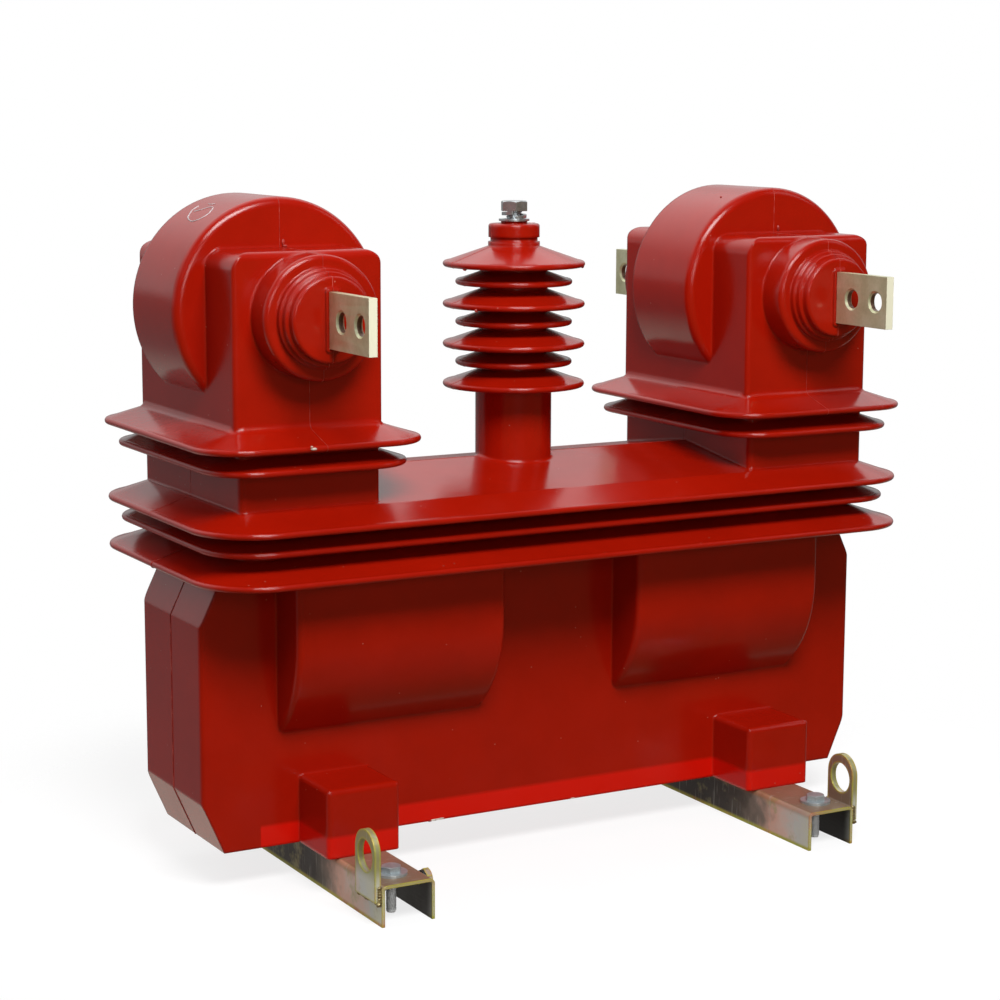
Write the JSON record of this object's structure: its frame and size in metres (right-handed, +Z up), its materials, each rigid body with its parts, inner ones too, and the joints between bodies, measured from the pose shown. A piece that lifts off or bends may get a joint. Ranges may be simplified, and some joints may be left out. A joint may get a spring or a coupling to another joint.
{
  "type": "outdoor instrument transformer",
  "caption": "Red cast-resin outdoor combined instrument transformer: long ribbed body on channel rails, heads with through-going terminal bars at both ends and a shed post between them.",
  "frame": {"origin": "middle of the rails' underside", "axes": "+X along the length to the right, -Y towards the front, +Z up"},
  "size_m": [0.77, 0.487, 0.6395],
  "materials": {
    "red_resin": "satin gloss, cast",
    "plated_bar": "tin plated, slightly yellow",
    "core_steel": "wound strip",
    "copper_winding": "varnished copper wire",
    "brass": "turned",
    "yellow_zinc": "yellow passivated zinc",
    "bright_steel": "zinc plated or stainless",
    "dark_rubber": "matt",
    "black_plastic": "matt"
  },
  "bodies": {
    "root": {"cast_body": "red_resin", "left_head": "red_resin", "right_head": "red_resin", "left_primary_bar": "plated_bar", "right_primary_bar": "plated_bar", "left_ct_core": "core_steel", "right_ct_core": "core_steel", "left_ct_winding": "copper_winding", "right_ct_winding": "copper_winding", "left_vt_core": "core_steel", "right_vt_core": "core_steel", "left_vt_primary": "copper_winding", "right_vt_primary": "copper_winding", "left_vt_secondary": "copper_winding", "right_vt_secondary": "copper_winding", "left_hv_lead": "copper_winding", "right_hv_lead": "copper_winding", "centre_hv_lead": "copper_winding", "secondary_leads": "copper_winding", "post_insert": "brass", "post_bolt": "bright_steel", "post_spring_washer": "bright_steel", "post_flat_washer": "bright_steel", "left_rail": "yellow_zinc", "right_rail": "yellow_zinc", "left_lifting_eyes": "yellow_zinc", "right_lifting_eyes": "yellow_zinc", "mount_bolts": "bright_steel", "mount_washers": "bright_steel", "foot_inserts": "brass", "foot_bolts": "bright_steel", "foot_washers": "bright_steel", "earth_bolt": "bright_steel", "earth_washer": "dark_rubber", "secondary_studs": "brass", "secondary_nuts": "brass", "secondary_washers": "brass", "terminal_gasket": "dark_rubber", "terminal_cover": "yellow_zinc", "cover_screws": "bright_steel", "cable_gland": "black_plastic"}
  },
  "joints": []
}
